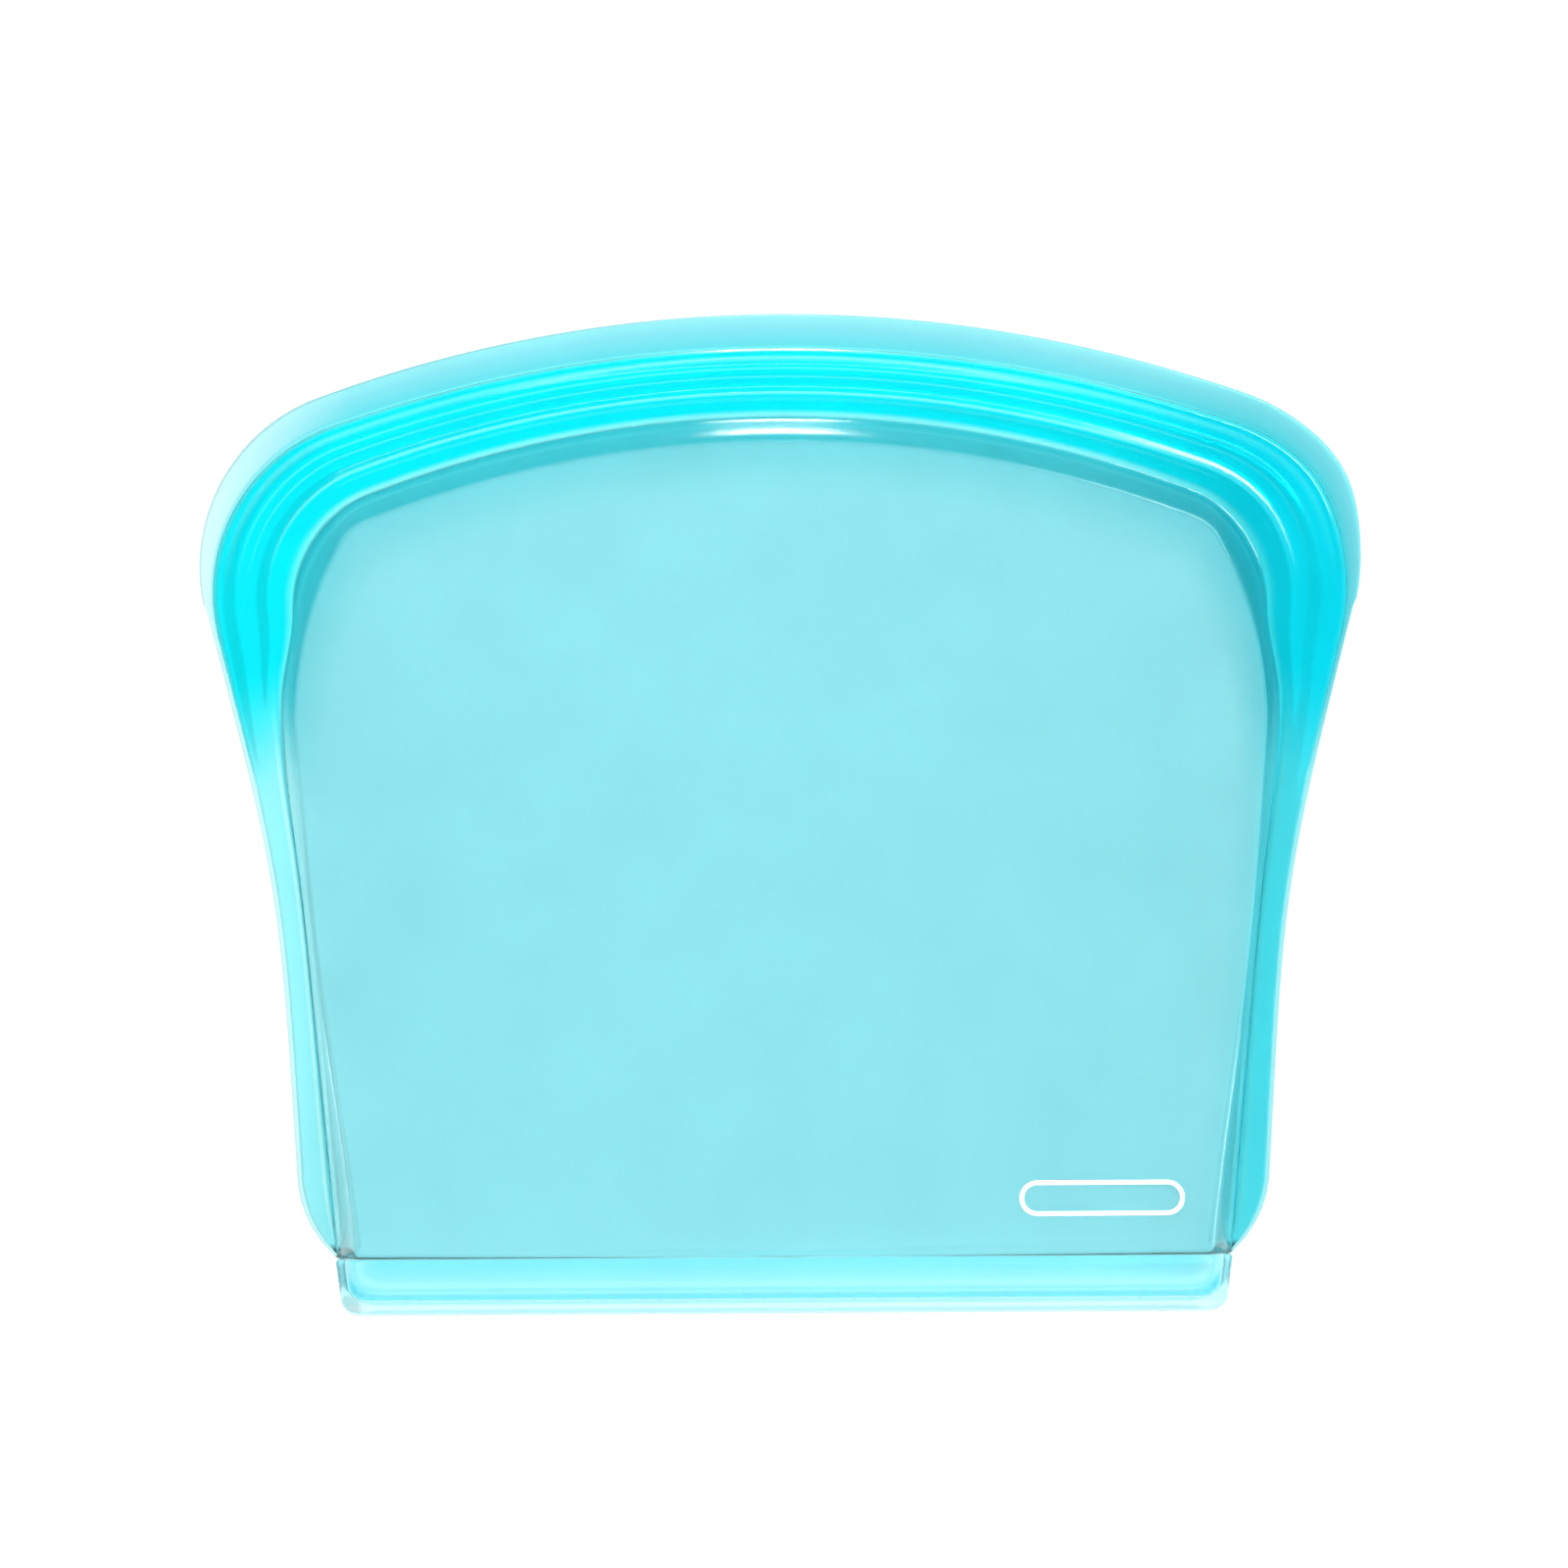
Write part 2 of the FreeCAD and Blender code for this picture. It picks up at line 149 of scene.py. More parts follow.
class Outline:
    """An arched outline: a flank given by a formula, a round shoulder and a broad arch.

    The arch and the shoulder are radii, the shoulder's centre lies at centre_x, and lean is the angle in
    degrees at which the flank meets it. The mesh's flank columns end at the split height where that is
    given, or else where the shoulder starts.
    """

    def __init__(self, top, arch, shoulder, centre_x, lean, flank, split=None):
        self.top = top
        self.arch = arch
        self.shoulder = shoulder
        centre_height = top - arch + math.sqrt((arch - shoulder) ** 2 - centre_x ** 2)
        self.centre = np.array((centre_x, centre_height))
        self.lean = math.radians(lean)
        self.flank = flank
        self.joint_height = centre_height - shoulder * math.sin(self.lean)
        self.split = split or self.joint_height

    def shoulder_points(self, count, touch):
        """Evenly spaced points from the split up the rest of the flank and round the shoulder."""
        heights = np.linspace(self.split, self.joint_height, 60, endpoint=False)
        turn = np.linspace(-self.lean, touch, 200)
        round_part = self.centre + self.shoulder * np.column_stack([np.cos(turn), np.sin(turn)])
        dense = np.vstack([np.column_stack([self.flank(heights), heights]), round_part])
        along = np.concatenate([[0.0], np.cumsum(np.linalg.norm(np.diff(dense, axis=0), axis=1))])
        wanted = np.linspace(0, along[-1], count, endpoint=False)
        return np.column_stack([np.interp(wanted, along, part) for part in dense.T])

    def points(self, flank_count, shoulder_count, arch_count):
        """The whole outline from the right foot over the top to the left foot, the same count for each."""
        heights = np.linspace(WALL_FOOT, self.split, flank_count, endpoint=False)
        flank = np.column_stack([self.flank(heights), heights])
        arch_centre = self.top - self.arch
        touch = math.atan2(self.centre[1] - arch_centre, self.centre[0])
        sweep = np.linspace(touch, math.pi / 2, arch_count)
        arch = np.column_stack([self.arch * np.cos(sweep), arch_centre + self.arch * np.sin(sweep)])
        right = np.vstack([flank, self.shoulder_points(shoulder_count, touch), arch])
        right[-1, 0] = 0
        left = right[-2::-1] * (-1, 1)
        return np.vstack([right, left])


EDGE = Outline(BACK_LIP_TOP, 222.4, 29.6, 65.7, 14.0, seam_edge)
FRONT_EDGE = Outline(FRONT_LIP_TOP, 223.0, 29.0, 64.0, 14.2, front_seam_edge)
CREASE = Outline(CREASE_TOP, 190.0, 19.5, 60.4, 0.0, crease_flank)
WINDOW = Outline(WINDOW_TOP, 188.0, 7.5, 65.3, -28.7, window_flank, split=111.5)

COUNTS = (44, 26, 44)
edge_line = EDGE.points(*COUNTS)
front_edge_line = FRONT_EDGE.points(*COUNTS)
crease_line = CREASE.points(*COUNTS)
window_line = WINDOW.points(*COUNTS)
COLUMNS = len(edge_line)

# The right shoulder hangs a little further out than the left one.
SHOULDER_SAG = 1.6
SHOULDER_HEIGHT = 139.5
for line in (edge_line, front_edge_line):
    line[:, 0] += SHOULDER_SAG * bump(line[:, 1], SHOULDER_HEIGHT, 10.0) * (line[:, 0] > 0)

# How much of the mouth's form each column has: none at the side seams, all at the seal. The ridge and the
# fine lines start higher up than the seal's band, and the crown is the middle of the arch.
crease_height = crease_line[:, 1]
MOUTH = smooth(crease_height, HINGE_HEIGHT - 16.0, HINGE_HEIGHT + 7.0)
RIDGE = smooth(crease_height, HINGE_HEIGHT - 8.0, HINGE_HEIGHT + 16.0)
LINED = smooth(crease_height, HINGE_HEIGHT + 17.0, HINGE_HEIGHT + 33.0)
CROWN = bump(crease_line[:, 0], 0.0, 50.0)

# ---------------------------------------------------------------- the section across the edge of a shell

SEAL_WIDTH = 12.0
SLOPE_RINGS = 22
FINE_STEP = 0.25
WINDOW_STEP = 3.4
RIM_BLEND = 42.0
FOOT_FLARE = 1.2
FOOT_FLARE_HEIGHT = 3.0
FOOT_FLARE_FROM = 2.0
ROUND = 0.6
CHAMFER = 0.80
TRACKS = (4.5, 7.8)
TRACK_DEPTH = 0.6
DENTS = (3.6, 5.1)
DENT_DEPTH = 0.04
RIDGE_PLACE = 8.2
RIDGE_RISE = 0.60
SLOPE_EASE = 1.25
CREASE_ROUND = 0.12
FLANK_SLACK = 5.1
SHOULDER_FILL = 1.8


def stations(with_back_lip):
    """Where each ring lies across the section: -1 back edge, 0 front edge, 1 crease, 2 window edge."""
    rounding = np.array([0.0, 0.04, 0.12, 0.25, 0.42, 0.6])
    if with_back_lip:
        lip_width = BACK_LIP_TOP - FRONT_LIP_TOP
        lip = -1 + np.concatenate([rounding, np.arange(1.1, lip_width - 0.2, 0.5)]) / lip_width
        seal = np.arange(0.0, SEAL_WIDTH, FINE_STEP) / SEAL_WIDTH
    else:
        lip = np.array([])
        seal = np.concatenate([rounding, np.arange(0.85, SEAL_WIDTH, FINE_STEP)]) / SEAL_WIDTH
    slope = 1 + np.arange(SLOPE_RINGS) / SLOPE_RINGS
    return np.concatenate([lip, seal, slope])


def edge_round(distance):
    """0 at a rounded edge, rising to 1 where the lip has its full thickness."""
    share = np.clip(distance / ROUND, 0, 1)
    return np.sqrt(1 - (1 - share) ** 2)


def edge_chamfer(distance):
    """The front lip's outer edge: a small round and then a soft chamfer, which catches the light."""
    share = np.clip(distance / 0.25, 0, 1)
    return 0.3 * np.sqrt(1 - (1 - share) ** 2) + 0.7 * smooth(distance, 0.05, CHAMFER)


def slope_rise(share):
    """From the crease at 0 to the window at 1: steep by the crease, then easing into the window."""
    share = np.clip(share, 0, 1)
    started = share * share * (1 + CREASE_ROUND) / (share + CREASE_ROUND)
    return 1 - (1 - started) ** SLOPE_EASE


def edge_depth(height):
    """Depth of the window's edge: boxy by the base, shallow up the flanks and deeper again by the seal."""
    slack = FLANK_SLACK * smooth(height, WALL_FOOT + 1.0, WALL_FOOT + 50.0)
    return HALF_DEPTH - slack + SHOULDER_FILL * smooth(height, 100.0, 135.0)


def back_lip_edge(across):
    """0 at the back lip's rounded edge, rising to 1 where that lip has its full thickness."""
    return edge_round((across + 1) * (BACK_LIP_TOP - FRONT_LIP_TOP))


def outer_depth(across, side):
    """Depth of the outer face from the middle plane."""
    distance = across * SEAL_WIDTH
    edge = back_lip_edge(across) if side == BACK else edge_chamfer(distance)
    lip = HALF_GAP + LIP_THICK * (0.5 + 0.5 * edge)
    band_step = 0.42 + 0.33 * CROWN
    seal = lip + band_step * smooth(distance, 0.9, 3.7)
    seal -= DENT_DEPTH * LINED * sum(bump(distance, dent, 0.3) for dent in DENTS)
    seal += RIDGE_RISE * RIDGE * bump(distance, RIDGE_PLACE, 1.1) - 0.15 * smooth(distance, 9.8, 11.6)
    seam = lip * 0.92 - 0.2 * bump(distance, 10.9, 0.8)
    rim = seam + (seal - seam) * MOUTH
    return rim + (edge_depth(window_line[:, 1]) - rim) * slope_rise(across - 1)


def inner_depth(across, side):
    """Depth of the inner face, from which the back's ribs stand and in which the front's grooves lie."""
    distance = across * SEAL_WIDTH
    edge = back_lip_edge(across) if side == BACK else edge_round(distance)
    gap = SEAM_GAP + (HALF_GAP - SEAM_GAP) * MOUTH
    track_depth = TRACK_DEPTH * MOUTH * (0.35 + 0.65 * LINED)
    face = gap + (HALF_GAP + LIP_THICK * 0.5 - gap) * (1 - edge)
    for track in TRACKS:
        face = face - side * track_depth * bump(distance, track, 1.0)
    return face + (edge_depth(window_line[:, 1]) - WALL - face) * slope_rise((across - 1.15) / 0.85)


def section_point(across):
    """Where a ring lies in the XZ plane: between the two edges, then the crease, then the window."""
    if across < 0:
        return front_edge_line + (edge_line - front_edge_line) * -across
    if across < 1:
        return front_edge_line + (crease_line - front_edge_line) * across
    return crease_line + (window_line - crease_line) * (across - 1)


def flare_to_base(height):
    """How far the foot of a wall swells out to meet the top of the base."""
    return FOOT_FLARE * np.exp(-np.clip(height - WALL_FOOT, 0, None) / FOOT_FLARE_HEIGHT)


def panel_swell(x, z, side):
    """How far the window stands proud of a flat sheet: a soft crown and a few slack waves."""
    half_width, crown_rise = 78.0, 0.9
    across = np.clip(1 - (x / half_width) ** 2, 0, 1)
    up = np.clip((z - WALL_FOOT) / (WINDOW_TOP - WALL_FOOT), 0, 1)
    waves = 0.10 * np.sin(x / 17.0 + 0.8 * side) * np.sin(z / 23.0 + 1.3)
    waves += 0.06 * np.sin(x / 9.0 - z / 14.0 + 2.0 * side)
    return (crown_rise + waves) * across * np.sin(math.pi * up)


def window_steps():
    """How far each ring of the window lies inside its edge: fine by the edge and by the foot."""
    reach = WINDOW_TOP - WALL_FOOT
    by_edge = [0.0, 0.4, 0.9, 1.6, 2.6]
    by_foot = reach - np.array([3.4, 2.3, 1.5, 0.9, 0.4, 0.15])
    return np.concatenate([by_edge, np.arange(4.2, by_foot[0] - 1.5, WINDOW_STEP), by_foot])


def make_shell(name, side):
    """One half of the bag as a closed skin of real thickness: lip, seal, slope, window and side seams."""
    outer, inner, across_values = [], [], []
    for across in stations(side == BACK):
        place = section_point(across)
        outer.append(np.column_stack([place[:, 0], outer_depth(across, side), place[:, 1]]))
        inner.append(np.column_stack([place[:, 0], inner_depth(across, side), place[:, 1]]))
        across_values.append(across)
    pole = np.array([0.0, WALL_FOOT])
    reach = WINDOW_TOP - WALL_FOOT
    rim = edge_depth(window_line[:, 1])
    for step in window_steps():
        place = pole + (window_line - pole) * (1 - step / reach)
        swell = panel_swell(place[:, 0], place[:, 1], side) * smooth(step, 0.0, 9.0)
        depth = rim + (HALF_DEPTH - rim) * slope_rise(step / RIM_BLEND) + swell
        outer.append(np.column_stack([place[:, 0], depth, place[:, 1]]))
        inner.append(np.column_stack([place[:, 0], depth - WALL, place[:, 1]]))
        across_values.append(2 + step / reach)
    outer, inner = np.array(outer), np.array(inner)
    for face in (outer, inner):
        wall_share = np.clip((face[:, :, 1] - FOOT_FLARE_FROM) / (HALF_DEPTH - FOOT_FLARE_FROM), 0, 1)
        face[:, :, 1] += flare_to_base(face[:, :, 2]) * wall_share
        face[:, :, 1] *= side
    return build_shell(name, outer, inner, across_values, pole, side)


def build_shell(name, outer, inner, across_values, pole, side):
    """Join the outer and inner grids into one closed mesh and keep its place across the section."""
    mesh = bmesh.new()
    across_layer = mesh.verts.layers.float.new("across")
    mouth_layer = mesh.verts.layers.float.new("mouth")
    ring_count = len(outer)

    def grid_verts(grid, first_ring):
        """The vertices of a grid of points, ring by ring."""
        made = []
        for ring in range(first_ring, ring_count):
            row = []
            for column in range(COLUMNS):
                vert = mesh.verts.new(Vector(grid[ring, column]) * MM)
                vert[across_layer] = across_values[ring]
                vert[mouth_layer] = MOUTH[column] + LINED[column]
                row.append(vert)
            made.append(row)
        return made

    outside = grid_verts(outer, 0)
    inside = [outside[0]] + grid_verts(inner, 1)
    poles = []
    for depth in (HALF_DEPTH, HALF_DEPTH - WALL):
        vert = mesh.verts.new(Vector((pole[0], side * (depth + flare_to_base(WALL_FOOT)), pole[1])) * MM)
        vert[across_layer] = 3.0
        poles.append(vert)

    for sheet, tip in ((outside, poles[0]), (inside, poles[1])):
        for ring in range(ring_count - 1):
            for column in range(COLUMNS - 1):
                mesh.faces.new((sheet[ring][column], sheet[ring][column + 1],
                                sheet[ring + 1][column + 1], sheet[ring + 1][column]))
        for column in range(COLUMNS - 1):
            mesh.faces.new((sheet[-1][column], sheet[-1][column + 1], tip))
    for column in (0, COLUMNS - 1):
        mesh.faces.new((outside[0][column], outside[1][column], inside[1][column]))
        for ring in range(1, ring_count - 1):
            mesh.faces.new((outside[ring][column], outside[ring + 1][column],
                            inside[ring + 1][column], inside[ring][column]))
        mesh.faces.new((outside[-1][column], poles[0], poles[1], inside[-1][column]))
    return finish_mesh(name, mesh)


def finish_mesh(name, mesh):
    """Turn a bmesh into a smooth-shaded object with its faces outwards."""
    bmesh.ops.recalc_face_normals(mesh, faces=mesh.faces)
    for face in mesh.faces:
        face.smooth = True
    data = bpy.data.meshes.new(name)
    mesh.to_mesh(data)
    mesh.free()
    made = bpy.data.objects.new(name, data)
    bpy.context.scene.collection.objects.link(made)
    return made


def front_face_depth(x, z):
    """How far the front window stands from the middle plane, in mm."""
    return HALF_DEPTH + panel_swell(x, z, FRONT) + flare_to_base(z)


def make_mark():
    """A small printed pill outline low on the front, standing a hair's breadth off the window."""
    half_length, half_height, stroke = 13.5, 2.9, 0.75
    middle_x, middle_z = 52.0, 18.6
    clearance, film = 0.03, 0.06
    reach = half_length - half_height
    mesh = bmesh.new()
    turns = np.linspace(0, 2 * math.pi, 96, endpoint=False)
    loops = []
    for radius in (half_height, half_height - stroke):
        for lift in (clearance, clearance + film):
            loop = []
            for turn in turns:
                x = middle_x + math.copysign(reach, math.cos(turn)) + radius * math.cos(turn)
                z = middle_z + radius * math.sin(turn)
                loop.append(mesh.verts.new(Vector((x, -front_face_depth(x, z) - lift, z)) * MM))
            loops.append(loop)
    outer_back, outer_front, inner_back, inner_front = loops
    for first, second in ((outer_back, outer_front), (outer_front, inner_front),
                          (inner_front, inner_back), (inner_back, outer_back)):
        for index in range(len(turns)):
            beside = (index + 1) % len(turns)
            mesh.faces.new((first[index], first[beside], second[beside], second[index]))
    return finish_mesh("printed_mark", mesh)


# ---------------------------------------------------------------- materials

# A colour mix's two colour inputs and its colour output, by their place among the sockets.
MIX_FIRST, MIX_SECOND, MIXED = 6, 7, 2


def node_tree(name):
    """A new material and its node tree."""
    material = bpy.data.materials.new(name)
    material.use_nodes = True
    return material, material.node_tree


def link(tree, source, output, target, socket):
    """Join an output of one node to a socket of another."""
    tree.links.new(source.outputs[output], target.inputs[socket])


def add_ramp(tree, stops, factor, output="Fac"):
    """A colour ramp from (place, colour) stops, driven by a node."""
    ramp = tree.nodes.new("ShaderNodeValToRGB")
    elements = ramp.color_ramp.elements
    while len(elements) < len(stops):
        elements.new(0.5)
    for element, (place, colour) in zip(elements, stops):
        element.position = place
        element.color = (*colour, 1)
    link(tree, factor, output, ramp, "Fac")
    return ramp


def add_mix(tree, kind, factor, first, second):
    """A colour mix; each input is a colour, a number or a (node, output) pair."""
    mix = tree.nodes.new("ShaderNodeMix")
    mix.data_type = "RGBA"
    mix.blend_type = kind
    for socket, value in ((0, factor), (MIX_FIRST, first), (MIX_SECOND, second)):
        if isinstance(value, float):
            mix.inputs[socket].default_value = value
        elif isinstance(value[0], bpy.types.Node):
            link(tree, *value, mix, socket)
        else:
            mix.inputs[socket].default_value = (*value, 1)
    return mix


def add_noise(tree, scale, detail, roughness=0.5):
    """Cloudy noise fixed to the object."""
    place = tree.nodes.new("ShaderNodeTexCoord")
    noise = tree.nodes.new("ShaderNodeTexNoise")
    noise.inputs["Scale"].default_value = scale
    noise.inputs["Detail"].default_value = detail
    noise.inputs["Roughness"].default_value = roughness
    link(tree, place, "Object", noise, "Vector")
    return noise


def add_range(tree, source, output, low, high, new_low, new_high):
    """A node's output mapped from one range to another, held at both ends."""
    span = tree.nodes.new("ShaderNodeMapRange")
    for socket, value in (("From Min", low), ("From Max", high), ("To Min", new_low), ("To Max", new_high)):
        span.inputs[socket].default_value = value
    link(tree, source, output, span, "Value")
    return span


def add_product(tree, first, second):
    """The product of two (node, output) pairs."""
    product = tree.nodes.new("ShaderNodeMath")
    product.operation = "MULTIPLY"
    link(tree, *first, product, 0)
    link(tree, *second, product, 1)
    return product


def object_axes(tree):
    """The place on the bag as separate X, Y and Z in metres."""
    place = tree.nodes.new("ShaderNodeTexCoord")
    axes = tree.nodes.new("ShaderNodeSeparateXYZ")
    link(tree, place, "Object", axes, "Vector")
    return axes


def shell_attribute(tree, name):
    """A number that build_shell keeps with every vertex."""
    node = tree.nodes.new("ShaderNodeAttribute")
    node.attribute_name = name
    return node


def add_specks(tree):
    """Sparse pale dust specks and pinhead bubbles, a tenth or two of a millimetre across."""
    place = tree.nodes.new("ShaderNodeTexCoord")
    cells = tree.nodes.new("ShaderNodeTexVoronoi")
    cells.inputs["Scale"].default_value = 260.0
    link(tree, place, "Object", cells, "Vector")
    chance = tree.nodes.new("ShaderNodeSeparateColor")
    link(tree, cells, "Color", chance, "Color")
    size = add_range(tree, chance, "Red", 0.55, 1.0, 0.0, 0.045)
    dot = tree.nodes.new("ShaderNodeMath")
    dot.operation = "LESS_THAN"
    link(tree, cells, "Distance", dot, 0)
    link(tree, size, "Result", dot, 1)
    return add_range(tree, dot, "Value", 0.0, 1.0, 0.0, 0.6)


def silicone(name, make_colour, ior=1.33):
    """Frosted, tinted silicone: light passes through it, with a fine moulded grain and a few specks."""
    material, tree = node_tree(name)
    shader = tree.nodes["Principled BSDF"]
    shader.inputs["Transmission Weight"].default_value = 0.92
    shader.inputs["IOR"].default_value = ior
    shader.inputs["Specular IOR Level"].default_value = 0.5
    cloud = add_noise(tree, 60.0, 3.0)
    depth = add_range(tree, cloud, "Fac", 0.3, 0.7, 0.965, 1.0)
    shaded = add_mix(tree, "MULTIPLY", 1.0, (make_colour(tree), MIXED), (depth, "Result"))
    dusty = add_mix(tree, "MIX", (add_specks(tree), "Result"), (shaded, MIXED), (0.85, 1.0, 1.0))
    link(tree, dusty, MIXED, shader, "Base Color")
    wipe = add_noise(tree, 140.0, 4.0, 0.6)
    roughness = add_range(tree, wipe, "Fac", 0.3, 0.75, 0.10, 0.17)
    link(tree, roughness, "Result", shader, "Roughness")
    grain = add_noise(tree, 2600.0, 2.0)
    bump_node = tree.nodes.new("ShaderNodeBump")
    bump_node.inputs["Strength"].default_value = 0.06
    bump_node.inputs["Distance"].default_value = 0.0001
    link(tree, grain, "Fac", bump_node, "Height")
    link(tree, bump_node, "Normal", shader, "Normal")
    return material


WINDOW_TINT = (0.500, 0.872, 0.915)
SEAM_TINT = (0.560, 0.970, 1.000)

# Tints by place across the section, as in stations(); 3 is the foot of the window.
LIP_STOPS = [(-1.0, (0.340, 0.880, 0.920)), (-0.6, (0.250, 0.770, 0.860)), (-0.1, (0.145, 0.750, 0.840))]
# The slope's darker stops are partly the longer path through the steep wall and partly painted shade; the
# paler stop at 1.36 is a painted highlight line along the slope.
SLOPE_STOPS = [(1.12, (0.110, 0.740, 0.800)), (1.28, (0.130, 0.740, 0.800)), (1.36, (0.220, 0.790, 0.850)),
               (1.44, (0.140, 0.730, 0.790)), (1.86, (0.170, 0.720, 0.780)), (2.06, WINDOW_TINT),
               (3.0, WINDOW_TINT)]
# The pale stop at 0.79 is a painted highlight line along the side seam's inner step.
SEAM_STOPS = [(-1.0, SEAM_TINT), (0.10, SEAM_TINT), (0.70, (0.530, 0.970, 1.000)),
              (0.79, (0.740, 1.000, 1.000)), (0.85, (0.500, 0.950, 0.980)), (0.98, (0.360, 0.870, 0.920)),
              (1.20, (0.640, 0.960, 0.980)), (1.60, (0.560, 0.910, 0.940)), (2.05, WINDOW_TINT),
              (3.0, WINDOW_TINT)]


def front_colour(tree):
    """The front half: deep in the band, with fine pale lines painted along its lip edge, step, tracks,
    ridge and crease as painted highlights.
    """
    return shell_colour(tree, deep=(0.002, 0.925, 0.985), pale=(0.75, 1.0, 1.0), faint=(0.45, 1.0, 1.0))


def back_colour(tree):
    """The back half: a clearer cyan in the band, so that the front's painted highlight lines show against
    it, with fainter painted highlight lines of its own.
    """
    return shell_colour(tree, deep=(0.100, 0.925, 0.985), pale=(0.22, 0.96, 1.0), faint=(0.10, 0.93, 0.99))


def across_ramp(tree, across, stops):
    """A ramp whose stops are places across the section, from the back lip's edge to the window's foot."""
    first, last = -1.0, 3.0
    share = add_range(tree, across, "Fac", first, last, 0.0, 1.0)
    shares = [((place - first) / (last - first), colour) for place, colour in stops]
    return add_ramp(tree, shares, share, "Result")


def band_stops(lines):
    """The ramp stops of the seal's band, given as (mm, tint) pairs, between the lip's and the slope's."""
    return LIP_STOPS + [(distance / SEAL_WIDTH, colour) for distance, colour in lines] + SLOPE_STOPS


def shell_colour(tree, deep, pale, faint):
    """Tint by place across the section: pale lip, deep seal with painted highlight lines, a slope darkened
    partly by painted shade, and a clear window.
    """
    across, mouth = shell_attribute(tree, "across"), shell_attribute(tree, "mouth")
    # The pale and faint stops in the band are painted highlight lines: the lip's edge, the step, the tracks
    # seen through the wall, the ridge and the crease.
    lines = [(0.0, pale), (0.30, faint), (0.7, deep), (1.2, deep), (1.75, faint), (2.5, deep)]
    for middle, half_width, colour in ((3.6, 0.22, faint), (5.1, 0.18, faint), (8.0, 0.30, pale)):
        lines += [(middle - half_width, deep), (middle, colour), (middle + half_width, deep)]
    lines += [(10.9, deep), (11.7, pale)]
    plain_lines = [(0.0, faint), (0.9, deep), (10.6, deep), (11.7, faint)]
    seal = across_ramp(tree, across, band_stops(lines))
    plain = across_ramp(tree, across, band_stops(plain_lines))
    seam = across_ramp(tree, across, SEAM_STOPS)
    lined = add_range(tree, mouth, "Fac", 1.0, 2.0, 0.0, 1.0)
    band = add_mix(tree, "MIX", (lined, "Result"), (plain, "Color"), (seal, "Color"))
    mouth_share = add_range(tree, mouth, "Fac", 0.0, 1.0, 0.0, 1.0)
    mixed = add_mix(tree, "MIX", (mouth_share, "Result"), (seam, "Color"), (band, MIXED))
    # Painted shade on the right of the slope and seal.
    shaded = paint_shade_on_right(tree, across, mixed)
    # Painted light on the far left of the back lip.
    return paint_light_on_left_lip(tree, across, shaded)


def paint_shade_on_right(tree, across, tint):
    """Painted shade: multiply the tint down on the right of the slope and seal, and less so on the lip,
    where the light falls off.
    """
    right = add_range(tree, object_axes(tree), "X", 0.053, 0.079, 0.0, 1.0)
    rim = add_range(tree, across, "Fac", 2.06, 1.75, 0.0, 1.0)
    shade = add_product(tree, (right, "Result"), (rim, "Result"))
    lip_relief = add_range(tree, across, "Fac", 0.0, -0.2, 1.0, 0.4)
    amount = add_product(tree, (shade, "Value"), (lip_relief, "Result"))
    return add_mix(tree, "MULTIPLY", (amount, "Value"), (tint, MIXED), (0.37, 0.875, 0.915))


def paint_light_on_left_lip(tree, across, tint):
    """Painted light: mix a paler tint into the far left of the back lip, where more light falls."""
    left = add_range(tree, object_axes(tree), "X", -0.070, -0.094, 0.0, 0.9)
    on_lip = add_range(tree, across, "Fac", 0.0, -0.2, 0.0, 1.0)
    lit = add_product(tree, (left, "Result"), (on_lip, "Result"))
    return add_mix(tree, "MIX", (lit, "Value"), (tint, MIXED), (0.70, 1.000, 1.000))


def print_ink():
    """Matt white ink with faint wear, and a faint painted glow from a weak emission."""
    material, tree = node_tree("printed_white")
    shader = tree.nodes["Principled BSDF"]
    wear = add_noise(tree, 900.0, 3.0)
    tone = add_ramp(tree, ((0.3, (0.80, 0.88, 0.88)), (0.6, (0.94, 0.96, 0.96))), wear)
    link(tree, tone, "Color", shader, "Base Color")
    shader.inputs["Roughness"].default_value = 0.6
    # A weak emission gives the ink a faint painted glow.
    shader.inputs["Emission Color"].default_value = (0.9, 0.97, 0.97, 1)
    shader.inputs["Emission Strength"].default_value = 0.25
    return material


# ---------------------------------------------------------------- the base


def boat_section(corner, wall, floor, rim):
    """The boat's profile as (inset, height): under it, up the outside, over the rim and down inside."""
    turns = np.linspace(0, math.pi / 2, 9)
    profile = [(6.0, 0.0), (4.2, 0.0)]
    profile += [(corner * (1 - math.sin(turn)), corner * (1 - math.cos(turn))) for turn in turns]
    profile += [(0.0, height) for height in np.linspace(corner + 0.7, rim - 0.7, 6)]
    profile += [(0.12, rim - 0.25), (0.4, rim), (wall - 0.4, rim), (wall - 0.12, rim - 0.25)]
    profile += [(wall, height) for height in np.linspace(rim - 0.8, floor + 3.2, 5)]
    profile += [(wall + 2.6 * (1 - math.cos(turn)), floor + 2.6 * (1 - math.sin(turn))) for turn in turns]
    return profile + [(wall + 4.2, floor), (wall + 5.5, floor)]


def plan_ring(half_x, half_y, corner, steps=9):
    """A rounded rectangle, anticlockwise from the +X side."""
    points = []
    for quarter, (x, y) in enumerate(((1, 1), (-1, 1), (-1, -1), (1, -1))):
        for turn in np.linspace(quarter, quarter + 1, steps) * math.pi / 2:
            points.append((x * (half_x - corner) + corner * math.cos(turn),
                           y * (half_y - corner) + corner * math.sin(turn)))
    return points


